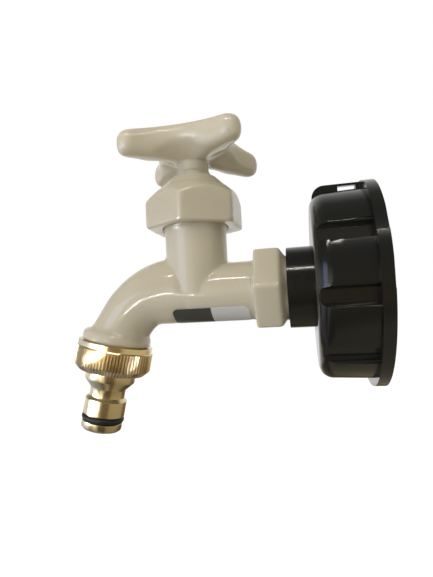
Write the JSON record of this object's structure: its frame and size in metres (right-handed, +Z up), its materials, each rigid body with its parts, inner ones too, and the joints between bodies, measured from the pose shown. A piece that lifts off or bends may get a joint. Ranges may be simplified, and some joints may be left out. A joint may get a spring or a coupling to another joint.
{
  "type": "ibc tap adapter",
  "caption": "Screw cap for a bulk container outlet with an integral spigot, a plastic bib tap with a cross handle screwed into it, and a brass quick hose connector.",
  "frame": {"origin": "centre of the cap's open mouth, on the axis of its coarse thread", "axes": "+X out of the cap's mouth along the cap's axis, +Z up along the valve stem, -Y towards the side the picture shows"},
  "size_m": [0.1232, 0.076, 0.1223],
  "materials": {
    "black_plastic": "satin moulded",
    "ivory_nylon": "satin, slightly translucent",
    "brass": "turned",
    "gasket_rubber": "matt",
    "seal_rubber": "matt",
    "label_film": "printed film, half dark and half white",
    "screw_steel": "plain"
  },
  "bodies": {
    "tap": {"ibc_cap": "black_plastic", "cap_gasket": "gasket_rubber", "inlet_washer": "gasket_rubber", "tap_body": "ivory_nylon", "label_sticker": "label_film", "bonnet": "ivory_nylon", "bonnet_washer": "seal_rubber", "stem_seal": "seal_rubber", "gland_ring": "ivory_nylon", "hose_connector": "brass", "hose_washer": "gasket_rubber", "connector_o_ring": "seal_rubber"},
    "jumper": {"jumper": "ivory_nylon", "valve_washer": "seal_rubber", "washer_screw": "screw_steel"},
    "spindle": {"spindle": "ivory_nylon", "handle": "ivory_nylon", "handle_screw": "screw_steel"}
  },
  "joints": [
    {"name": "valve_lift", "type": "slide", "parent": "tap", "child": "jumper", "axis": [0, 0, 1], "range_m": [0, 0.005]},
    {"name": "handle_turn", "type": "hinge", "parent": "jumper", "child": "spindle", "pos_m": [-0.0689, 0, 0.0587], "axis": [0, 0, 1], "range_deg": [0, 720]}
  ],
  "couplings": [
    {"joint": "valve_lift", "follows": "handle_turn", "m_per_rad": 0.00039789}
  ]
}
